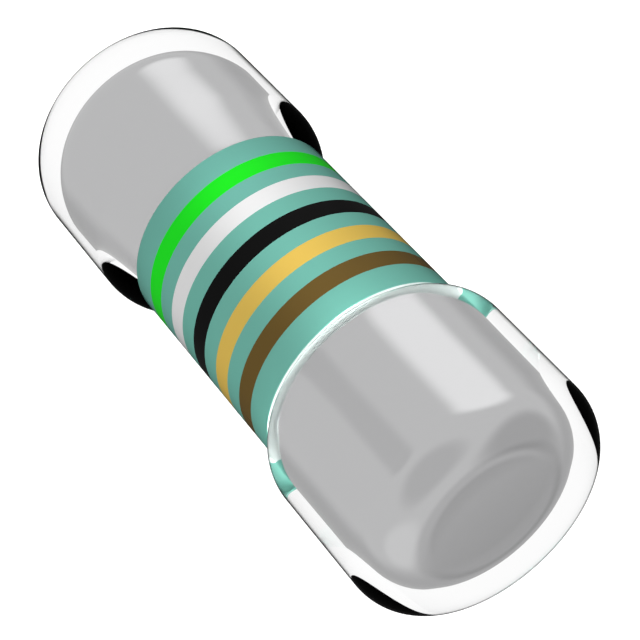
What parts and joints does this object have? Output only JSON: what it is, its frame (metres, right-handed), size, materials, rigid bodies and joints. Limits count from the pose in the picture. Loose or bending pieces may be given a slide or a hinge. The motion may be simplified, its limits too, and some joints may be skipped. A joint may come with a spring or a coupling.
{
  "type": "cylindrical surface-mount film resistor",
  "caption": "Small cylindrical leadless resistor with a turquoise body, colour bands and rounded clear end caps over metal cups.",
  "frame": {"origin": "middle of the flat face of the lower end cap, on which the part stands", "axes": "+Z along the part's axis from the end by the green band to the end by the brown band; the part is round about it, so X and Y are free"},
  "size_m": [0.0014, 0.0014, 0.0036],
  "materials": {
    "alumina_ceramic": "fired, fine matt",
    "metal_film": "thin deposited film, laser trimmed",
    "tinned_steel": "drawn cup, tin plated, satin",
    "clear_glass": "clear, fire polished",
    "turquoise_lacquer": "baked lacquer, satin",
    "green_paint": "printed ring, satin",
    "white_paint": "printed ring, satin",
    "black_paint": "printed ring, satin",
    "gold_paint": "printed ring, satin",
    "brown_paint": "printed ring, satin"
  },
  "bodies": {
    "root": {"ceramic_rod": "alumina_ceramic", "resistive_film": "metal_film", "lower_metal_cup": "tinned_steel", "upper_metal_cup": "tinned_steel", "lower_clear_cap": "clear_glass", "upper_clear_cap": "clear_glass", "lacquer_coat": "turquoise_lacquer", "band_green": "green_paint", "band_white": "white_paint", "band_black": "black_paint", "band_gold": "gold_paint", "band_brown": "brown_paint"}
  },
  "joints": []
}
